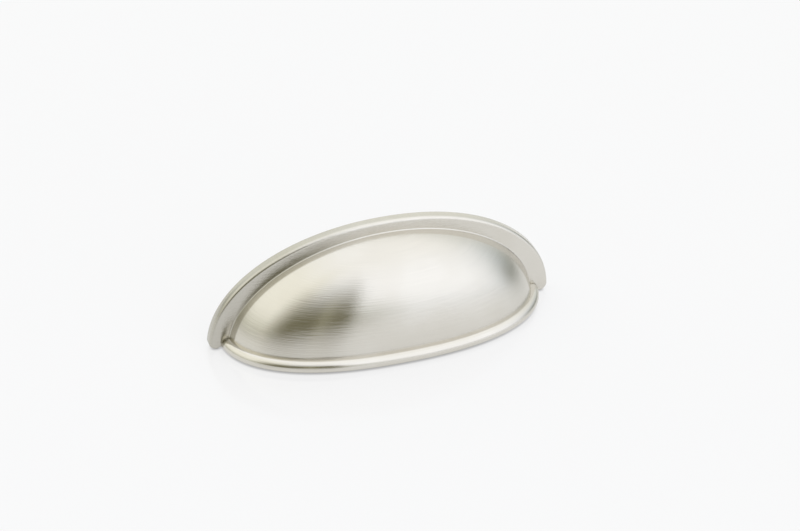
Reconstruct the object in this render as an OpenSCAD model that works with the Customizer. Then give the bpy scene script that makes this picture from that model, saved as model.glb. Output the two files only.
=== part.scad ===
// Cup pull for a drawer: one casting with a half-oval flange, a hollow cup and a rolled lip.
// X runs along the pull, the flange lies on the plane y = 0, and the cup comes forward to -Y.
// The origin is on the mounting face, midway between the two screws.

/* [Overall size] */
// Length of the flange from foot to foot
length = 104; // [101:0.5:116]
// Height from the mouth to the crown of the flange
height = 35.2; // [32:0.2:39]
// Distance from the mounting face to the front of the lip
projection = 24.8; // [23:0.2:30]

/* [Flange] */
// Thickness of the flange
flange_t = 2.9; // [2.3:0.1:3.4]
// Width of the flat band above the cup
band_top = 3.7; // [3.2:0.1:4.8]
// Width of the flat band beside the cup, at the feet
band_side = 5.5; // [5.3:0.1:6.6]
// Radius along the front edge of the flange and under its feet
edge_r = 0.9; // [0.4:0.1:1.1]
// Radius of the outer corner of each foot
foot_r = 2.4; // [1.6:0.1:2.7]
// Width of the flat pad under each foot
pad_w = 0.3; // [0.1:0.1:0.5]
// Height of the small arch between each pad and the lip
foot_rise = 0.4; // [0.1:0.1:0.6]
// Squareness of the flange outline, where 2 is an ellipse
flange_power = 2.09; // [2:0.01:2.3]

/* [Cup] */
// Thickness of the cup wall
wall = 2.2; // [1.8:0.1:2.6]
// Squareness of the cup seen from above and from its end, where 2 is an ellipse
cup_power = 2.3; // [2:0.01:2.4]
// Squareness of the arch where the cup meets the flange, where 2 is an ellipse
arch_power = 2.01; // [2:0.01:2.2]
// Radius of the cove between the cup and the flange
cove_r = 0.3; // [0.2:0.1:1]

/* [Lip] */
// Radius of the roll on the outside of the lip
lip_r = 2; // [1.7:0.1:2.3]
// Distance from the cup's outer face to the middle of the roll
lip_out = 0.2; // [0:0.1:0.5]
// Drop of the roll's top where its rounded ends meet the flange
end_dip = 0.8; // [0:0.1:1]

/* [Screws] */
// Distance between the two screws
screw_pitch = 76.2; // [70:0.1:77.2]
// Height of the screws above the mouth
screw_z = 9.5; // [9:0.1:11]
// Radius of the tapped holes, measured at the crests of the thread
screw_r = 1.7; // [1.3:0.05:2]
// Depth of the tapped holes to the start of the drill point
screw_depth = 8; // [6:0.5:8]
// Radius of each boss at the mounting face
boss_r = 3.9; // [3.2:0.1:4.2]
// Growth of the boss radius towards its root, the casting's draft
boss_draft = 0.3; // [0:0.1:0.5]

/* [Hidden] */

// Steps around each arch of the cup, and along the cup from the cove to the front of the mouth
stations = 60;
cup_steps = 18;
cove_steps = 2;
// Steps around the flange's front edge, around the corner of a foot, and up its side to the foot of the arch
edge_steps = 4;
foot_steps = 4;
side_steps = 2;
// Steps around the arch beside a pad, and around the lip: over its roll, under it and on its inner side
relief_steps = 2;
over_steps = 5;
grip_steps = 2;
under_steps = 3;
inner_steps = 4;
// Lean of the cup wall between the mouth and the top of the lip
lean = 0.25;
// Length over which the roll's top drops towards the flange
end_run = 1.2;
// Depth of the boss roots in the thickness of the wall, as a share of it
boss_root = 0.25;
// Half the angle of the drill point
drill_half_angle = 59;

// The cup's half length, depth and height, measured where its surface would meet the mounting face
cup_b = projection - lip_r - lip_out;
face_scale = pow(1 - pow(flange_t / cup_b, cup_power), 1 / cup_power);
cup_a = (length / 2 - band_side) / face_scale;
cup_c = (height - band_top) / face_scale;

// Where the flat pad of a foot meets its corner, and the flange's half width if its feet were square
heel = length / 2 - foot_r;
foot_angle = asin(pow(foot_r / height, flange_power / 2));
flange_a = length / 2 / pow(cos(foot_angle), 2 / flange_power);

// Front of the cup at the top of the lip, and front of the hollow at the height of the roll's middle
pole_y = cup_b * pow(1 - pow(lip_top(0) / cup_c, cup_power), 1 / cup_power);
hollow_y = (cup_b - wall) * pow(1 - pow(lip_r / (cup_c - wall), cup_power), 1 / cup_power);

// Middle of the roll where the lip meets the flange
heel_x = (cup_a + lip_out) * slice_scale(flange_t, cup_b + lip_out);

// A point on a half oval, at t degrees from its right end, with half width a and height b.
function oval(t, a, b, power) =
    [sign(cos(t)) * a * pow(abs(cos(t)), 2 / power), b * pow(sin(t), 2 / power)];

// The outward direction of that oval at the same point.
function oval_normal(t, a, b, power) =
    let (n = [sign(cos(t)) * pow(abs(cos(t)), 2 - 2 / power) / a, pow(sin(t), 2 - 2 / power) / b])
    n / norm(n);

// How much smaller a cup of depth b is at a distance y from the mounting face.
function slice_scale(y, b) = pow(1 - pow(y / b, cup_power), 1 / cup_power);

// How much the roll's top drops at a distance y from the mounting face.
function dip(y) = end_dip * pow(max(0, 1 - (y - flange_t) / end_run), 2);

// Height of the top of the lip at a distance out from the cup's face, less the drop.
function lip_top(out, drop = 0) = lip_r + (lip_r - drop) * sqrt(1 - pow((lip_out + lean - out) / lip_r, 2));

// Turn of the roll where the underside of a foot runs into it, for a foot drawn in at its edge.
function grip(inset) = asin((foot_rise + inset) / lip_r - 1);

// An upright arch standing on a level z.
function arch(y, a, c, z) =
    let (t = asin(pow(z / c, arch_power / 2)))
    [for (i = [0 : stations]) let (p = oval(t + (180 - 2 * t) * i / stations, a, c, arch_power))
        [p.x, -y, p.y]];

// One arch of the cup's outer face, flared where it runs into the cove, and one arch of the hollow.
function outer_arch(y, flare) =
    let (k = slice_scale(y, cup_b))
    arch(y, cup_a * k + flare, cup_c * k + flare, lip_top(flare, dip(y)));
function inner_arch(y) =
    let (k = slice_scale(y, cup_b - wall))
    arch(y, (cup_a - wall) * k, (cup_c - wall) * k, lip_r);

// The outer edge of the flange drawn in by a given distance: two rounded feet and the oval between them.
function flange_edge(y, inset) =
    let (
        steps = stations + 2 * side_steps,
        corner = [for (i = [0 : foot_steps]) let (u = 90 * i / foot_steps - 90)
            [heel + (foot_r - inset) * cos(u), -y, foot_r + (foot_r - inset) * sin(u)]])
    concat(
        corner,
        [for (i = [1 : steps - 1])
            let (p = oval(foot_angle + (180 - 2 * foot_angle) * i / steps,
                flange_a - inset, height - inset, flange_power))
            [p.x, -y, p.y]],
        [for (i = [foot_steps : -1 : 0]) [-corner[i].x, corner[i].y, corner[i].z]]);

// A point on the lip's roll around the middle c, at u degrees up from its outermost point.
function roll(c, n, u, drop = 0) =
    [c.x + lip_r * cos(u) * n.x, c.y + lip_r * cos(u) * n.y, lip_r + (lip_r - (u > 0 ? drop : 0)) * sin(u)];

// The underside of the lip, from the turn g on the outside of its roll to its inner face at q.
function underside(c, n, q, g) = concat(
    [for (i = [0 : under_steps]) roll(c, n, g - (90 + g) * i / under_steps)],
    [for (i = [1 : inner_steps - 1]) let (v = 90 * i / inner_steps)
        [c.x + (q.x - c.x) * sin(v), c.y + (q.y - c.y) * sin(v), q.z * (1 - cos(v))]]);

// The underside of one foot drawn in at its edge, from its pad over the small arch to the inner face at q.
function foot_line(side, y, q, inset) = concat(
    [for (i = [0 : relief_steps]) let (u = 90 * i / relief_steps)
        [side * (heel - pad_w - foot_rise * (1 - cos(u))), -y, inset + foot_rise * sin(u)]],
    underside([side * heel_x, -y], [side, 0], q, grip(inset)));

// One section of the lip, from the inner face at q around the roll to the cup's outer face at p.
function lip_section(c, n, p, q, drop = 0) =
    let (
        g = grip(edge_r),
        under = underside(c, n, q, g),
        crease = acos(((p.x - c.x) * n.x + (p.y - c.y) * n.y) / lip_r))
    concat(
        [q],
        [for (i = [len(under) - 1 : -1 : 0]) under[i]],
        [for (i = [1 : grip_steps]) roll(c, n, g * (1 - i / grip_steps))],
        [for (i = [1 : over_steps - 1]) roll(c, n, crease * i / over_steps, drop)],
        [p]);

// Distances and flares of the arches, from the foot of the cove to the last one before the front.
arch_y = concat(
    [for (i = [0 : cove_steps - 1]) flange_t + cove_r * (1 - cos(90 * i / cove_steps))],
    [for (i = [0 : cup_steps - 1]) let (start = asin((flange_t + cove_r) / pole_y))
        pole_y * sin(start + (90 - start) * i / cup_steps)]);
arch_flare = [for (i = [0 : len(arch_y) - 1]) i < cove_steps ? cove_r * (1 - sin(90 * i / cove_steps)) : 0];

// The rows of points that make up the skin of the casting.
outer_rows = [for (i = [0 : len(arch_y) - 1]) outer_arch(arch_y[i], arch_flare[i])];
inner_rows = [for (y = arch_y)
    inner_arch(flange_t + (y - flange_t) * (hollow_y - flange_t) / (pole_y - flange_t))];
rim = concat(
    [[0, 0]],
    [for (i = [0 : edge_steps]) let (u = 90 * i / edge_steps)
        [flange_t - edge_r * (1 - sin(u)), edge_r * (1 - cos(u))]]);
edge_rows = [for (r = rim) flange_edge(r[0], r[1])];

// The section of the lip at one arch, on the right or the left.
function side_section(i, side) =
    let (
        t = asin(pow(arch_y[i] / pole_y, cup_power / 2)),
        square = i < cove_steps,
        a = cup_a + lip_out,
        b = cup_b + lip_out,
        n = square ? [1, 0] : oval_normal(t, a, b, cup_power),
        c = square ? [a * slice_scale(arch_y[i], b), arch_y[i]] : oval(t, a, b, cup_power),
        end = side > 0 ? 0 : stations)
    lip_section([side * c.x, -c.y], [side * n.x, -n.y],
        outer_rows[i][end], inner_rows[i][end], dip(arch_y[i]));

lip_rows = concat(
    [for (i = [0 : len(arch_y) - 1]) side_section(i, 1)],
    [lip_section([0, -cup_b - lip_out], [0, -1], [0, -pole_y, lip_top(0)], [0, -hollow_y, lip_r])],
    [for (i = [len(arch_y) - 1 : -1 : 0]) side_section(i, -1)]);

// Closed rings through the thickness of the flange, around both feet and the hollow.
flange_rings = [for (i = [0 : len(rim) - 1])
    let (
        y = rim[i][0],
        inner = inner_arch(y),
        left = foot_line(-1, y, inner[stations], rim[i][1]),
        right = foot_line(1, y, inner[0], rim[i][1]),
        ring = concat(
            edge_rows[i],
            left,
            [for (i = [stations : -1 : 0]) inner[i]],
            [for (i = [len(right) - 1 : -1 : 0]) right[i]]))
    concat(ring, [ring[0]])];

// The face that seats on the drawer and the flat band around the cup, both as strips between two arches.
corner = foot_steps + side_steps;
back_edge = edge_rows[0];
front_edge = edge_rows[edge_steps + 1];
seat_rows = [inner_arch(0), [for (i = [0 : stations]) back_edge[corner + i]]];
band_rows = [[for (i = [0 : stations]) front_edge[corner + i]], outer_rows[0]];

// The ends of the two strips at one foot, from the outline of its corner, its underside and the lip.
function back_foot(edge, under, q) = concat(
    [edge[corner], q],
    [for (i = [len(under) - 1 : -1 : 0]) under[i]],
    [for (i = [0 : corner - 1]) edge[i]]);
function front_foot_low(edge, under, section) = concat(
    [for (i = [foot_steps : -1 : 0]) edge[i]],
    [for (i = [0 : relief_steps]) under[i]],
    [for (i = [0 : grip_steps]) section[len(section) - 1 - over_steps - grip_steps + i]]);
function front_foot_high(edge, section) = concat(
    [edge[foot_steps + 1], edge[foot_steps]],
    [for (i = [len(section) - 1 - over_steps : len(section) - 1]) section[i]],
    [for (i = [corner : -1 : foot_steps + 2]) edge[i]]);
function backwards(list) = concat([list[0]], [for (i = [len(list) - 1 : -1 : 1]) list[i]]);

back_edge_left = [for (i = [len(back_edge) - 1 : -1 : 0]) back_edge[i]];
front_edge_left = [for (i = [len(front_edge) - 1 : -1 : 0]) front_edge[i]];
feet = [
    back_foot(back_edge, foot_line(1, 0, seat_rows[0][0], 0), seat_rows[0][0]),
    backwards(back_foot(back_edge_left, foot_line(-1, 0, seat_rows[0][stations], 0), seat_rows[0][stations])),
    front_foot_low(front_edge, foot_line(1, flange_t, inner_rows[0][0], edge_r), lip_rows[0]),
    front_foot_high(front_edge, lip_rows[0]),
    backwards(front_foot_low(front_edge_left, foot_line(-1, flange_t, inner_rows[0][stations], edge_r),
        lip_rows[len(lip_rows) - 1])),
    backwards(front_foot_high(front_edge_left, lip_rows[len(lip_rows) - 1]))];

// The fronts of the cup and of the hollow, where the last arches close on one point.
last_outer = outer_rows[len(outer_rows) - 1];
last_inner = inner_rows[len(inner_rows) - 1];
tips = concat(
    [for (i = [0 : stations - 1]) [last_outer[i], [0, -pole_y, lip_top(0)], last_outer[i + 1]]],
    [for (i = [0 : stations - 1]) [last_inner[i + 1], [0, -hollow_y, lip_r], last_inner[i]]]);

// All faces of the skin: quadrilaterals between neighbouring rows, then the ends and the tips.
function between(rows) = [for (r = [0 : len(rows) - 2], i = [0 : len(rows[0]) - 2])
    [rows[r][i], rows[r + 1][i], rows[r + 1][i + 1], rows[r][i + 1]]];
skin = concat(
    between(flange_rings),
    between(seat_rows),
    between(band_rows),
    between(outer_rows),
    between([for (i = [len(inner_rows) - 1 : -1 : 0]) inner_rows[i]]),
    between(lip_rows),
    feet,
    tips);
face_ends = [for (i = 0, n = 0; i < len(skin); n = n + len(skin[i]), i = i + 1) n];

// The casting with flange, cup and lip as one closed surface.
module shell() {
    polyhedron(
        points = [for (face = skin) each face],
        faces = [for (i = [0 : len(skin) - 1]) [for (k = [0 : len(skin[i]) - 1]) face_ends[i] + k]],
        convexity = 6);
}

// One boss for a screw, standing on the mounting face and rooted in the wall of the cup.
module boss(side) {
    root = wall * boss_root;
    intersection() {
        translate([side * screw_pitch / 2, 0, screw_z])
            rotate([90, 0, 0])
                cylinder(h = cup_b, r1 = boss_r, r2 = boss_r + boss_draft, $fn = 40);
        scale([cup_a - root, cup_b - root, cup_c - root])
            sphere(r = 1, $fn = 96);
    }
}

// A blind hole into one boss, with the cone that the drill leaves.
module screw_hole(side) {
    translate([side * screw_pitch / 2, 0, screw_z])
        rotate([90, 0, 0]) {
            cylinder(h = screw_depth, r = screw_r, $fn = 48);
            translate([0, 0, screw_depth])
                cylinder(h = screw_r / tan(drill_half_angle), r1 = screw_r, r2 = 0, $fn = 48);
        }
}

// The finished pull, lowered so that the origin is midway between its screws.
module cup_pull() {
    color([0.78, 0.76, 0.72])
        translate([0, 0, -screw_z])
            difference() {
                union() {
                    shell();
                    for (side = [-1, 1]) boss(side);
                }
                for (side = [-1, 1]) screw_hole(side);
            }
}

cup_pull();
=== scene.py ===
import math

import bpy
import numpy as np
from mathutils import Matrix, Vector


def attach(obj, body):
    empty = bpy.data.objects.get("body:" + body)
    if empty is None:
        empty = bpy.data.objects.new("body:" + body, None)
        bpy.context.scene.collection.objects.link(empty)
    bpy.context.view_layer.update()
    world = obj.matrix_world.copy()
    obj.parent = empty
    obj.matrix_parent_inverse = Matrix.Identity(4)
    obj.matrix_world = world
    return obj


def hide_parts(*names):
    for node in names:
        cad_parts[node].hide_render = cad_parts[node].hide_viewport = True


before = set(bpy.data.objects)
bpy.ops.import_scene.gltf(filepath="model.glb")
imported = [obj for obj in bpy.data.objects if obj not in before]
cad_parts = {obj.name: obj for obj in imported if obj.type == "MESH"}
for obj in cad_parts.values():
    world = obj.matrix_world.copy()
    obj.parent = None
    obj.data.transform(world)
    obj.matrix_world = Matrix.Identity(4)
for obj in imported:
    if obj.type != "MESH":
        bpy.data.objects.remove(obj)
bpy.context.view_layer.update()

MM = 0.001

# Sizes of the pull, in millimetres, standing on its mouth with the mounting face on y = 0 and
# y counted forwards, out of the drawer front
LENGTH = 104.0
HEIGHT = 35.2
PROJECTION = 24.8
FLANGE_T = 2.9
BAND_TOP = 3.7
BAND_SIDE = 5.5
EDGE_R = 0.9
BACK_EDGE_R = 0.25
FOOT_R = 2.4
PAD_W = 0.3
FOOT_RISE = 0.4
FLANGE_POWER = 2.09
WALL = 2.2
CUP_POWER = 2.3
ARCH_POWER = 2.01
COVE_R = 0.3
LIP_R = 2.0
LIP_OUT = 0.2
LIP_LEAN = 0.25
END_DIP = 0.8
END_RUN = 1.2
SCREW_PITCH = 76.2
SCREW_Z = 9.5
SCREW_R = 1.7
SCREW_DEPTH = 8.0
BOSS_R = 3.9
BOSS_DRAFT = 0.3

# The 8-32 thread: a groove THREAD_DEPTH deep in the hole's wall, from THREAD_IN inside the mouth
# to THREAD_END before the drill point, where it fades over THREAD_FADE
THREAD_PITCH = 0.794
THREAD_DEPTH = 0.36
THREAD_IN = 0.35
THREAD_END = 0.15
THREAD_FADE = 1.2
GROOVE_FLAT = 1.25
GROOVE_SLOPE = 3.2
DRILL_HALF_ANGLE = 59

# The boss's face, as radius and depth: chamfer of the hole, flat and rounded outer edge
BOSS_EDGE = 0.32
BOSS_FACE = [
    (SCREW_R + 0.1, BOSS_EDGE),
    (SCREW_R + 0.42, 0.02),
    (BOSS_R - 0.3, 0.02),
    (BOSS_R - 0.08, 0.1),
    (BOSS_R, BOSS_EDGE),
]

# Steps of the mesh
STATIONS = 256
CUP_STEPS = 84
COVE_STEPS = 9
EDGE_STEPS = 9
BACK_STEPS = 3
FOOT_STEPS = 12
SIDE_STEPS = 8
RELIEF_STEPS = 6
OVER_STEPS = 18
GRIP_STEPS = 6
UNDER_STEPS = 10
INNER_STEPS = 12
BOSS_AROUND = 72
THREAD_TURN_STEPS = 10
CORNER = FOOT_STEPS + SIDE_STEPS

# Decimals to which points that fall together are merged, the angle of a sharp edge in degrees,
# and the least of the cup's depth that a boss keeps where it passes beside the cup
MERGE_DIGITS = 5
SHARP_ANGLE = 32
LEAST_DEPTH = 0.004

# Each end of the pull: its side, and where an arch has its point there
ENDS = ((1, 0), (-1, -1))

# The brushing: how far it turns back along the sides of the cup, and from about how far out (in
# metres), how much it leans along the cup's depth, how wide its lines are spread over the height
# (in metres), and how far above the cup and the flange they would meet (in millimetres)
BRUSH_TURN = 0.4
BRUSH_TURN_WIDTH = 0.015
BRUSH_LEAN = 0.06
BRUSH_RISE = 0.03
BRUSH_OVER_CUP = 0.2
BRUSH_OVER_FLANGE = 0.6

# Satin nickel: its colours and roughness, the scratches' scales along and across the brushing,
# and the painted shade on the flange's left, by depth and by place along the pull (in metres)
NICKEL_DARK = (0.650, 0.630, 0.574)
NICKEL_LIGHT = (0.681, 0.659, 0.601)
NICKEL_CLOUD = (0.965, 0.96, 0.95)
NICKEL_ROUGHNESS = (0.165, 0.2)
NICKEL_ROUGHNESS_DRIFT = 0.01
NICKEL_ANISOTROPY = 0.58
SCRATCHES_FINE = (90, 9000, 1)
SCRATCHES_LONG = (70, 3600, 1)
SCRATCHES_LONG_PLACE = (3.1, 0, 0)
SCRATCH_BUMP = 0.42
SCRATCH_BUMP_DISTANCE = 0.00008
CLOUD_SCALE = 70.0
FLANGE_FRONT = (-0.0036, -0.0030)
FLANGE_PAINTED_SHADE = (0.79, 0.79, 0.775)
FLANGE_PAINTED_SHADE_RUN = (-0.045, 0.005)
WHITE = (1.0, 1.0, 1.0)

# The table, with its size and the reach of its painted contact shadow in metres
TABLE_SIZE = 3.0
TABLE_COLOUR = (0.180, 0.180, 0.182, 1)
TABLE_GLOW = (0.994, 0.994, 1.000, 1)
TABLE_GLOW_RANGE = (0.30, 0.735)
TABLE_CONTACT = 0.0007
TABLE_ROUGHNESS = 0.13
TABLE_IOR = 1.6

# The room over the table: its colour at the horizon and at ROOM_HIGH degrees up
ROOM_LOW = (0.56, 0.63, 0.69)
ROOM_TOP = (1.34, 1.35, 1.38)
ROOM_HIGH = 60

# Areas of the studio that the metal reflects. Each has its azimuth from and to with their soft
# widths, its elevation from and to with their soft widths, its colour and its strength. They
# are in degrees, with azimuth 0 straight in front of the pull and positive to its right.
STUDIO_AREAS = [
    (-31, 35, 77, 35, -10, 27, 59, 22, (1.41, 1.43, 1.51), 1.00),
    (-141, 20, -31, 16, -10, 12.5, 70, 13, (1.24, 1.23, 1.15), 1.00),
    (-146, 6, 12, 11, -20, 4, 7.5, 22, (0.45, 0.45, 0.34), 1.00),
    (78, 14, 135, 12.5, -20, 4, 6, 17, (0.19, 0.18, 0.10), 1.00),
    (-51, 18, 0, 1.2, -20, 4, 36, 30, (0.165, 0.15, 0.072), 1.00),
    (-17, 3, -11, 3, -20, 4, 30, 8, (1.25, 1.23, 0.95), 0.17),
    (119, 31, 179.5, 1.5, -3, 11, 51, 22, (1.02, 1.03, 0.99), 1.00),
    (-179.5, 3.5, -143, 4.6, -13, 13, 56, 6.4, (1.09, 1.10, 1.04), 1.00),
]

# The camera's place over the table, in millimetres, and its turn in degrees
CAMERA_AT = (-215.293, -560.602, 464.269 - SCREW_Z)
CAMERA_AZ = 21.537
CAMERA_EL = 36.614
CAMERA_ROLL = 3.242
CAMERA_LENS = 117.0


def place_camera():
    az, el, roll = (math.radians(v) for v in (CAMERA_AZ, CAMERA_EL, CAMERA_ROLL))
    back = Vector((-math.sin(az) * math.cos(el), -math.cos(az) * math.cos(el), math.sin(el)))
    right = Vector((math.cos(az), -math.sin(az), 0))
    up = back.cross(right)
    x = right * math.cos(roll) + up * math.sin(roll)
    y = up * math.cos(roll) - right * math.sin(roll)
    data = bpy.data.cameras.new("camera")
    data.lens = CAMERA_LENS
    data.sensor_width = 36.0
    data.clip_start = 0.01
    data.clip_end = 20.0
    camera = bpy.data.objects.new("camera", data)
    camera.matrix_world = Matrix((
        (x[0], y[0], back[0], CAMERA_AT[0] * MM),
        (x[1], y[1], back[1], CAMERA_AT[1] * MM),
        (x[2], y[2], back[2], CAMERA_AT[2] * MM),
        (0, 0, 0, 1)))
    bpy.context.scene.collection.objects.link(camera)
    bpy.context.scene.camera = camera


def slice_scale(y, b):
    """Scale of the cup's slice at the depth y, for a cup b deep."""
    return (1 - (y / b) ** CUP_POWER) ** (1 / CUP_POWER)


def oval(t, a, b, power):
    """Points of a half oval at the angles t, from its right end over the top."""
    c, s = np.cos(t), np.sin(t)
    return np.sign(c) * a * np.abs(c) ** (2 / power), b * np.maximum(s, 0) ** (2 / power)


def oval_angle(height, power):
    """Angle at which an oval of height 1 has the height given."""
    return math.asin(height ** (power / 2))


def dip(y):
    """How much lower the lip's roll is at the depth y, where it runs out on the flange."""
    return END_DIP * max(0, 1 - (y - FLANGE_T) / END_RUN) ** 2


def lip_top(flare, drop=0):
    """Height of the crease between the lip and the cup, where the cup flares out by flare."""
    return LIP_R + (LIP_R - drop) * math.sqrt(1 - ((LIP_OUT + LIP_LEAN - flare) / LIP_R) ** 2)


def grip(inset):
    """Angle on the lip's roll at which the foot's relief meets it."""
    return math.asin((FOOT_RISE + inset) / LIP_R - 1)


CUP_B = PROJECTION - LIP_R - LIP_OUT
FACE_SCALE = slice_scale(FLANGE_T, CUP_B)
CUP_A = (LENGTH / 2 - BAND_SIDE) / FACE_SCALE
CUP_C = (HEIGHT - BAND_TOP) / FACE_SCALE
LIP_A = CUP_A + LIP_OUT
LIP_B = CUP_B + LIP_OUT
HEEL = LENGTH / 2 - FOOT_R
FOOT_ANGLE = oval_angle(FOOT_R / HEIGHT, FLANGE_POWER)
FLANGE_A = LENGTH / 2 / math.cos(FOOT_ANGLE) ** (2 / FLANGE_POWER)
POLE_Y = CUP_B * slice_scale(lip_top(0), CUP_C)
HOLLOW_Y = (CUP_B - WALL) * slice_scale(LIP_R, CUP_C - WALL)
HEEL_X = LIP_A * slice_scale(FLANGE_T, LIP_B)
OUTER_TIP = np.array([0, -POLE_Y, lip_top(0)])
INNER_TIP = np.array([0, -HOLLOW_Y, LIP_R])


def arch(y, a, c, z):
    """Half oval at the depth y, from the height z on the right to the same height on the left."""
    t0 = oval_angle(z / c, ARCH_POWER)
    x, h = oval(np.linspace(t0, math.pi - t0, STATIONS + 1), a, c, ARCH_POWER)
    return np.stack([x, np.full_like(x, -y), h], -1)


def outer_arch(y, flare):
    k = slice_scale(y, CUP_B)
    return arch(y, CUP_A * k + flare, CUP_C * k + flare, lip_top(flare, dip(y)))


def inner_arch(y):
    k = slice_scale(y, CUP_B - WALL)
    return arch(y, (CUP_A - WALL) * k, (CUP_C - WALL) * k, LIP_R)


def flange_edge(y, inset):
    """The flange's outline at the depth y, from its right foot over the crown to the left one."""
    u = np.linspace(-math.pi / 2, 0, FOOT_STEPS + 1)
    r = FOOT_R - inset
    corner = np.stack([HEEL + r * np.cos(u), np.full_like(u, -y), FOOT_R + r * np.sin(u)], -1)
    steps = STATIONS + 2 * SIDE_STEPS
    t = np.linspace(FOOT_ANGLE, math.pi - FOOT_ANGLE, steps + 1)[1:-1]
    x, z = oval(t, FLANGE_A - inset, HEIGHT - inset, FLANGE_POWER)
    crown = np.stack([x, np.full_like(x, -y), z], -1)
    return np.concatenate([corner, crown, (corner * (-1, 1, 1))[::-1]])


def roll(c, n, u, drop=0):
    """Points of the lip's roll around its middle c, at the angles u up from its outermost point."""
    return np.stack([
        c[0] + LIP_R * np.cos(u) * n[0],
        c[1] + LIP_R * np.cos(u) * n[1],
        LIP_R + (LIP_R - np.where(u > 0, drop, 0)) * np.sin(u)], -1)


def underside(c, n, q, g):
    """The lip's underside, from the angle g on its roll to just short of the hollow's point q."""
    under = roll(c, n, np.linspace(g, -math.pi / 2, UNDER_STEPS + 1))
    v = np.linspace(0, math.pi / 2, INNER_STEPS + 1)[1:-1]
    inner = np.stack([
        c[0] + (q[0] - c[0]) * np.sin(v),
        c[1] + (q[1] - c[1]) * np.sin(v),
        q[2] * (1 - np.cos(v))], -1)
    return np.concatenate([under, inner])


def foot_line(side, y, q, inset):
    """The underside of the flange at the depth y, from the foot's pad to the hollow's point q."""
    u = np.linspace(0, math.pi / 2, RELIEF_STEPS + 1)
    pad = np.stack([
        side * (HEEL - PAD_W - FOOT_RISE * (1 - np.cos(u))),
        np.full_like(u, -y),
        inset + FOOT_RISE * np.sin(u)], -1)
    return np.concatenate([pad, underside((side * HEEL_X, -y), (side, 0), q, grip(inset))])


def lip_section(c, n, p, q, drop=0):
    """Section of the lip, from the hollow's point q under the roll to the cup's point p."""
    crease = math.acos(((p[0] - c[0]) * n[0] + (p[1] - c[1]) * n[1]) / LIP_R)
    return np.concatenate([
        [q],
        underside(c, n, q, grip(EDGE_R))[::-1],
        roll(c, n, np.linspace(grip(EDGE_R), 0, GRIP_STEPS + 1)[1:]),
        roll(c, n, np.linspace(0, crease, OVER_STEPS + 1)[1:-1], drop),
        [p]])


def lip_middle(y, side, straight):
    """Middle of the lip's roll at the depth y and the way out from it, in plan."""
    if straight:
        c, n = (LIP_A * slice_scale(y, LIP_B), y), (1.0, 0.0)
    else:
        t = oval_angle(y / POLE_Y, CUP_POWER)
        c = (LIP_A * math.cos(t) ** (2 / CUP_POWER), LIP_B * math.sin(t) ** (2 / CUP_POWER))
        out = 2 - 2 / CUP_POWER
        n = np.array([math.cos(t) ** out / LIP_A, math.sin(t) ** out / LIP_B])
        n = n / np.linalg.norm(n)
    return (side * c[0], -c[1]), (side * n[0], -n[1])


def skin_depths():
    """Depths of the arches through the cove and the cup, with the cove's flare at each."""
    cove = np.linspace(0, math.pi / 2, COVE_STEPS + 1)[:-1]
    start = math.asin((FLANGE_T + COVE_R) / POLE_Y)
    ys = np.concatenate([
        FLANGE_T + COVE_R * (1 - np.cos(cove)),
        POLE_Y * np.sin(np.linspace(start, math.pi / 2, CUP_STEPS + 1)[:-1])])
    return ys, np.concatenate([COVE_R * (1 - np.sin(cove)), np.zeros(CUP_STEPS)])


def flange_rim():
    """Depth and inset of each ring around the flange's edge, from the back to the front."""
    back = np.linspace(0, math.pi / 2, BACK_STEPS + 1)[::-1]
    front = np.linspace(0, math.pi / 2, EDGE_STEPS + 1)[:-1]
    rim = [(BACK_EDGE_R * (1 - math.sin(u)), BACK_EDGE_R * (1 - math.cos(u))) for u in back]
    rim += [(FLANGE_T - EDGE_R * (1 - math.sin(u)), EDGE_R * (1 - math.cos(u))) for u in front]
    return rim + [(FLANGE_T, EDGE_R)]


def flange_ring(edge, y, inset):
    """The flange's whole outline at the depth y: edge, left foot, hollow and right foot."""
    hollow = inner_arch(y)
    return np.concatenate([
        edge,
        foot_line(-1, y, hollow[-1], inset),
        hollow[::-1],
        foot_line(1, y, hollow[0], inset)[::-1],
        edge[:1]])


def lip_sections(ys, outer, inner):
    """Sections of the lip, from its right end around the front to its left end."""
    right, left = ([
        lip_section(*lip_middle(y, side, i < COVE_STEPS), outer[i][end], inner[i][end], dip(y))
        for i, y in enumerate(ys)] for side, end in ENDS)
    return right + [lip_section((0, -LIP_B), (0, -1), OUTER_TIP, INNER_TIP)] + left[::-1]


def between(rows):
    """Faces between neighbouring rows of points."""
    return [
        (r0[i], r1[i], r1[i + 1], r0[i + 1])
        for r0, r1 in zip(rows[:-1], rows[1:]) for i in range(len(r0) - 1)]


def fan(point, line, turn=1):
    """Faces between a point and a line of points, turned over where turn is -1."""
    return [(point, line[i], line[i + 1])[::turn] for i in range(len(line) - 1)]


def end_faces(side, end, back_edge, front_edge, section, hollow_front):
    """Faces of the flange beside the hollow at one end: its back, and its front around the lip."""
    edge = back_edge[::side]
    hollow = inner_arch(0)[end]
    under = foot_line(side, 0, hollow, BACK_EDGE_R)
    faces = fan(edge[CORNER], np.concatenate([[hollow], under[::-1], edge[:CORNER]]), side)

    edge = front_edge[::side]
    widest = len(section) - 1 - OVER_STEPS
    under = foot_line(side, FLANGE_T, hollow_front, EDGE_R)
    low = np.concatenate([
        edge[:FOOT_STEPS][::-1],
        under[:RELIEF_STEPS + 1],
        section[widest - GRIP_STEPS:widest + 1]])
    high = np.concatenate([section[widest:], edge[FOOT_STEPS + 2:CORNER + 1][::-1]])
    faces += fan(edge[FOOT_STEPS], low, side)
    faces += fan(edge[FOOT_STEPS + 1], high, side)
    faces.append((edge[FOOT_STEPS + 1], edge[FOOT_STEPS], high[0])[::side])
    return faces


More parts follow.
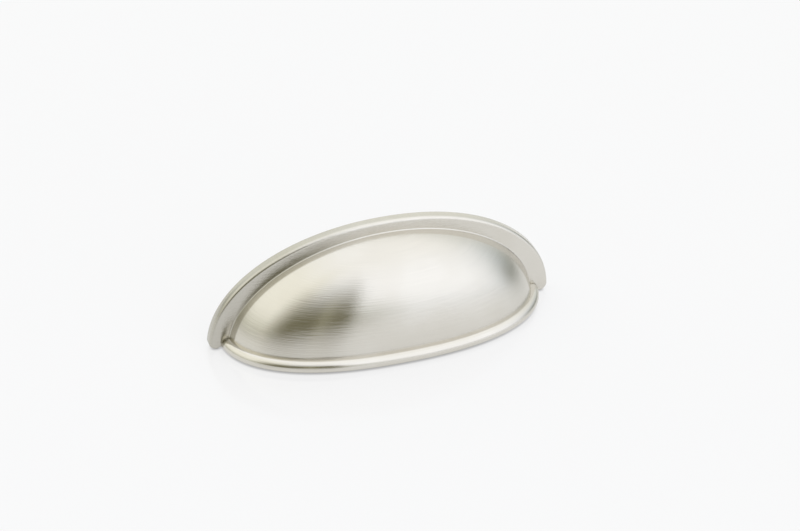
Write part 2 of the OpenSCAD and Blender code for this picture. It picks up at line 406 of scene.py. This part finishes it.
def casting_faces():
    """Every face of the casting's skin, as lists of points in millimetres."""
    ys, flares = skin_depths()
    depths = FLANGE_T + (ys - FLANGE_T) * (HOLLOW_Y - FLANGE_T) / (POLE_Y - FLANGE_T)
    outer = [outer_arch(y, flare) for y, flare in zip(ys, flares)]
    inner = [inner_arch(y) for y in depths]
    rim = flange_rim()
    edges = [flange_edge(y, inset) for y, inset in rim]
    lip = lip_sections(ys, outer, inner)
    crown = slice(CORNER, CORNER + STATIONS + 1)

    faces = between([flange_ring(edge, y, inset) for edge, (y, inset) in zip(edges, rim)])
    faces += between([inner_arch(0), edges[0][crown]])
    faces += between([edges[-1][crown], outer[0]])
    faces += between(outer)
    faces += between(inner[::-1])
    faces += between(lip)
    for i in range(STATIONS):
        faces.append((outer[-1][i], OUTER_TIP, outer[-1][i + 1]))
        faces.append((inner[-1][i + 1], INNER_TIP, inner[-1][i]))
    for side, end in ENDS:
        faces += end_faces(side, end, edges[0], edges[-1], lip[end], inner[0][end])
    return faces


def grid_faces(rings):
    """Faces between closed rings of points, with a fan at each end."""
    closed = [np.concatenate([ring, ring[:1]]) for ring in rings]
    first = fan(np.mean(rings[0], axis=0), closed[0])
    last = fan(np.mean(rings[-1], axis=0), closed[-1], -1)
    return between(closed) + first + last


def wall_depth(x, z):
    """Depth of the middle of the cup's wall in front of the points x, z."""
    m = WALL / 2
    k = (np.abs(x) / (CUP_A - m)) ** ARCH_POWER + (np.maximum(z, 0) / (CUP_C - m)) ** ARCH_POWER
    rest = np.maximum(1 - k ** (CUP_POWER / ARCH_POWER), LEAST_DEPTH)
    return (CUP_B - m) * rest ** (1 / CUP_POWER)


def boss_faces(side):
    """A boss with its tapped hole: from the drill point to the mouth, the face, the outside."""
    t = np.linspace(0, 2 * math.pi, BOSS_AROUND, endpoint=False)
    cx = side * SCREW_PITCH / 2

    def circle(radius):
        return cx + radius * np.cos(t), SCREW_Z + radius * np.sin(t)

    def ring(radius, depth):
        x, z = circle(radius)
        return np.stack([x, np.broadcast_to(-depth, t.shape), z], -1)

    point = SCREW_R / math.tan(math.radians(DRILL_HALF_ANGLE))
    rings = [ring(SCREW_R * k, SCREW_DEPTH + point * (1 - k)) for k in (0.02, 0.5, 1)]
    turns = (SCREW_DEPTH - THREAD_END - THREAD_IN) / THREAD_PITCH
    for s in np.linspace(SCREW_DEPTH - THREAD_END, THREAD_IN, int(turns * THREAD_TURN_STEPS)):
        phase = (s / THREAD_PITCH + t / (2 * math.pi)) % 1
        groove = np.clip(GROOVE_FLAT - np.abs(phase - 0.5) * GROOVE_SLOPE, 0, 1)
        fade = min(1.0, (SCREW_DEPTH - s) / THREAD_FADE)
        rings.append(ring(SCREW_R + THREAD_DEPTH * groove * fade, s))
    rings += [ring(radius, depth) for radius, depth in BOSS_FACE]
    for k in (0.25, 0.5, 0.75, 1.0):
        radius = BOSS_R + BOSS_DRAFT * k
        rings.append(ring(radius, BOSS_EDGE + (wall_depth(*circle(radius)) - BOSS_EDGE) * k))
    rings += [ring(radius, wall_depth(*circle(radius))) for radius in (3.0, 2.0, 1.0, 0.1)]
    return grid_faces(rings)


def brush_map(points):
    """Where each point lies along the level brushing around the cup and across it, in metres."""
    x, y, z = points[:, 0], -points[:, 1], points[:, 2]
    on_cup = y * 1000 > FLANGE_T + COVE_R
    top = np.where(on_cup, CUP_C + BRUSH_OVER_CUP, HEIGHT + BRUSH_OVER_FLANGE)
    rise = np.arcsin(np.clip(z * 1000 / top, -0.2, 1))
    along = x - BRUSH_TURN * y * np.tanh(x / BRUSH_TURN_WIDTH)
    return np.stack([along, rise * BRUSH_RISE + BRUSH_LEAN * y], -1)


def mesh_object(name, faces):
    """A mesh of the faces, with shared points merged, moved to the row's frame."""
    flat = np.array([p for f in faces for p in f])
    keys = np.round(flat, MERGE_DIGITS) + 0.0
    index, inverse = np.unique(keys, axis=0, return_index=True, return_inverse=True)[1:]
    inverse = inverse.ravel()
    points = flat[index]
    polys, at = [], 0
    for f in faces:
        ids = list(dict.fromkeys(inverse[at:at + len(f)].tolist()))
        at += len(f)
        if len(ids) > 2:
            polys.append(ids)
    mesh = bpy.data.meshes.new(name)
    mesh.from_pydata(((points - (0, 0, SCREW_Z)) * MM).tolist(), [], polys)
    mesh.validate()
    uv = mesh.uv_layers.new(name="brush")
    spots = brush_map(points * MM)
    corners = np.empty(len(mesh.loops), np.int32)
    mesh.loops.foreach_get("vertex_index", corners)
    uv.data.foreach_set("uv", spots[corners].astype(np.float32).ravel())
    mesh.polygons.foreach_set("use_smooth", [True] * len(mesh.polygons))
    mesh.set_sharp_from_angle(angle=math.radians(SHARP_ANGLE))
    mesh.update()
    obj = bpy.data.objects.new(name, mesh)
    bpy.context.scene.collection.objects.link(obj)
    return obj


class Nodes:
    """Short calls for a node tree."""

    def __init__(self, tree):
        self.tree = tree
        tree.nodes.clear()

    def add(self, kind, **values):
        node = self.tree.nodes.new(kind)
        for key, value in values.items():
            setattr(node, key, value)
        return node

    def link(self, a, b):
        self.tree.links.new(a, b)

    def fill(self, socket, value):
        """Puts a number, a colour or another node's output into a socket."""
        if isinstance(value, (int, float)):
            socket.default_value = value
        elif isinstance(value, tuple):
            socket.default_value = (*value, 1.0)
        else:
            self.link(value, socket)

    def math(self, operation, a, b=None):
        node = self.add("ShaderNodeMath", operation=operation)
        self.fill(node.inputs[0], a)
        if b is not None:
            self.fill(node.inputs[1], b)
        return node.outputs[0]

    def ramp(self, value, low, high, to_low=0.0, to_high=1.0, smooth=True):
        node = self.add("ShaderNodeMapRange", clamp=True)
        node.interpolation_type = "SMOOTHSTEP" if smooth else "LINEAR"
        self.link(value, node.inputs[0])
        for socket, v in zip(list(node.inputs)[1:5], (low, high, to_low, to_high)):
            socket.default_value = v
        return node.outputs[0]

    def mix(self, factor, a, b, blend="MIX"):
        node = self.add("ShaderNodeMix", data_type="RGBA", blend_type=blend)
        self.fill(node.inputs[0], factor)
        self.fill(node.inputs[6], a)
        self.fill(node.inputs[7], b)
        return node.outputs[2]

    def noise(self, vector, scale, detail, roughness):
        node = self.add("ShaderNodeTexNoise")
        self.link(vector, node.inputs["Vector"])
        node.inputs["Scale"].default_value = scale
        node.inputs["Detail"].default_value = detail
        node.inputs["Roughness"].default_value = roughness
        return node.outputs[0]

    def stretch(self, vector, scale, place=(0, 0, 0)):
        node = self.add("ShaderNodeMapping")
        self.link(vector, node.inputs["Vector"])
        node.inputs["Location"].default_value = place
        node.inputs["Scale"].default_value = scale
        return node.outputs[0]

    def xyz(self, vector):
        node = self.add("ShaderNodeSeparateXYZ")
        self.link(vector, node.inputs[0])
        return node.outputs


def principled(name):
    """A new material with its nodes and its shader."""
    material = bpy.data.materials.new(name)
    material.use_nodes = True
    n = Nodes(material.node_tree)
    out = n.add("ShaderNodeOutputMaterial")
    bsdf = n.add("ShaderNodeBsdfPrincipled")
    n.link(bsdf.outputs[0], out.inputs["Surface"])
    return material, n, bsdf


def brushed_nickel():
    """Satin nickel: fine scratches along the pull, a few longer ones, a soft tint, and painted
    shade on the flange's left.
    """
    material, n, bsdf = principled("brushed_nickel")
    brush = n.add("ShaderNodeUVMap", uv_map="brush").outputs[0]
    place = n.add("ShaderNodeTexCoord").outputs["Object"]
    x, y = n.xyz(place)[:2]

    fine = n.noise(n.stretch(brush, SCRATCHES_FINE), 1.0, 3.0, 0.6)
    long = n.noise(n.stretch(brush, SCRATCHES_LONG, SCRATCHES_LONG_PLACE), 1.0, 2.0, 0.6)
    broad = n.noise(place, CLOUD_SCALE, 2.0, 0.5)
    streaks = n.math("ADD", n.math("MULTIPLY", fine, 0.4), n.math("MULTIPLY", long, 0.6))

    colour = n.mix(n.ramp(streaks, 0.3, 0.7), NICKEL_DARK, NICKEL_LIGHT)
    cloud = n.mix(n.ramp(broad, 0.35, 0.65), NICKEL_CLOUD, WHITE)
    colour = n.mix(1.0, colour, cloud, "MULTIPLY")
    # Painted shade: the flange's colour is darkened towards its left, where the studio alone leaves
    # it too bright
    shade = n.mix(n.ramp(x, *FLANGE_PAINTED_SHADE_RUN), FLANGE_PAINTED_SHADE, WHITE)
    colour = n.mix(n.ramp(y, *FLANGE_FRONT), colour, shade, "MULTIPLY")
    n.link(colour, bsdf.inputs["Base Color"])

    rough = n.ramp(streaks, 0.25, 0.75, *NICKEL_ROUGHNESS)
    drift = n.ramp(broad, 0.3, 0.7, -NICKEL_ROUGHNESS_DRIFT, NICKEL_ROUGHNESS_DRIFT)
    n.link(n.math("ADD", rough, drift), bsdf.inputs["Roughness"])
    bsdf.inputs["Metallic"].default_value = 1.0
    bsdf.inputs["Anisotropic"].default_value = NICKEL_ANISOTROPY
    bsdf.inputs["Anisotropic Rotation"].default_value = 0.25
    tangent = n.add("ShaderNodeTangent", direction_type="UV_MAP", uv_map="brush")
    n.link(tangent.outputs[0], bsdf.inputs["Tangent"])

    bump = n.add("ShaderNodeBump")
    bump.inputs["Strength"].default_value = SCRATCH_BUMP
    bump.inputs["Distance"].default_value = SCRATCH_BUMP_DISTANCE
    n.link(long, bump.inputs["Height"])
    n.link(bump.outputs[0], bsdf.inputs["Normal"])
    return material


def table_white():
    """A white glossy table that glows, so that it stays as pale as the photograph's."""
    material, n, bsdf = principled("table_white")
    bsdf.inputs["Base Color"].default_value = TABLE_COLOUR
    bsdf.inputs["Roughness"].default_value = TABLE_ROUGHNESS
    bsdf.inputs["IOR"].default_value = TABLE_IOR
    bsdf.inputs["Emission Color"].default_value = TABLE_GLOW
    # The glow fades where the pull stands on the table, a painted contact shadow, and where the
    # table's gloss takes over
    contact = n.add("ShaderNodeAmbientOcclusion", samples=8)
    contact.inputs["Distance"].default_value = TABLE_CONTACT
    gloss = n.add("ShaderNodeFresnel")
    gloss.inputs["IOR"].default_value = TABLE_IOR
    lit = n.ramp(contact.outputs["AO"], 0, 1, *TABLE_GLOW_RANGE, smooth=False)
    under = n.math("SUBTRACT", 1.0, gloss.outputs[0])
    n.link(n.math("MULTIPLY", lit, under), bsdf.inputs["Emission Strength"])
    return material


def studio_world():
    """A bright white room with a few soft areas, lighter and darker, for the metal to reflect."""
    world = bpy.data.worlds.new("studio")
    bpy.context.scene.world = world
    world.use_nodes = True
    n = Nodes(world.node_tree)
    out = n.add("ShaderNodeOutputWorld")
    x, y, z = n.xyz(n.add("ShaderNodeTexCoord").outputs["Generated"])
    degrees = 180 / math.pi
    azimuth = n.math("MULTIPLY", n.math("ARCTAN2", x, n.math("MULTIPLY", y, -1.0)), degrees)
    elevation = n.math("MULTIPLY", n.math("ARCSINE", z), degrees)
    colour = n.mix(n.ramp(elevation, 0, ROOM_HIGH), ROOM_LOW, ROOM_TOP)
    for az0, soft0, az1, soft1, el0, low, el1, high, tone, strength in STUDIO_AREAS:
        across = n.math(
            "MULTIPLY",
            n.ramp(azimuth, az0 - soft0, az0 + soft0),
            n.ramp(azimuth, az1 - soft1, az1 + soft1, 1.0, 0.0))
        along = n.math(
            "MULTIPLY",
            n.ramp(elevation, el0 - low, el0 + low),
            n.ramp(elevation, el1 - high, el1 + high, strength, 0.0))
        colour = n.mix(n.math("MULTIPLY", across, along), colour, tone)
    background = n.add("ShaderNodeBackground")
    n.link(colour, background.inputs["Color"])
    background.inputs["Strength"].default_value = 1.0
    n.link(background.outputs[0], out.inputs["Surface"])


def stage():
    size, z = TABLE_SIZE, -SCREW_Z * MM
    mesh = bpy.data.meshes.new("table")
    corners = [(-size, -size, z), (size, -size, z), (size, size, z), (-size, size, z)]
    mesh.from_pydata(corners, [], [(0, 1, 2, 3)])
    mesh.materials.append(table_white())
    floor = bpy.data.objects.new("table", mesh)
    bpy.context.scene.collection.objects.link(floor)


place_camera()
bpy.context.scene.view_settings.view_transform = "Standard"

pull = mesh_object("nickel_pull", casting_faces() + boss_faces(-1) + boss_faces(1))
pull.data.materials.append(brushed_nickel())
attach(pull, "root")
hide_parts("cup_pull")

studio_world()
stage()
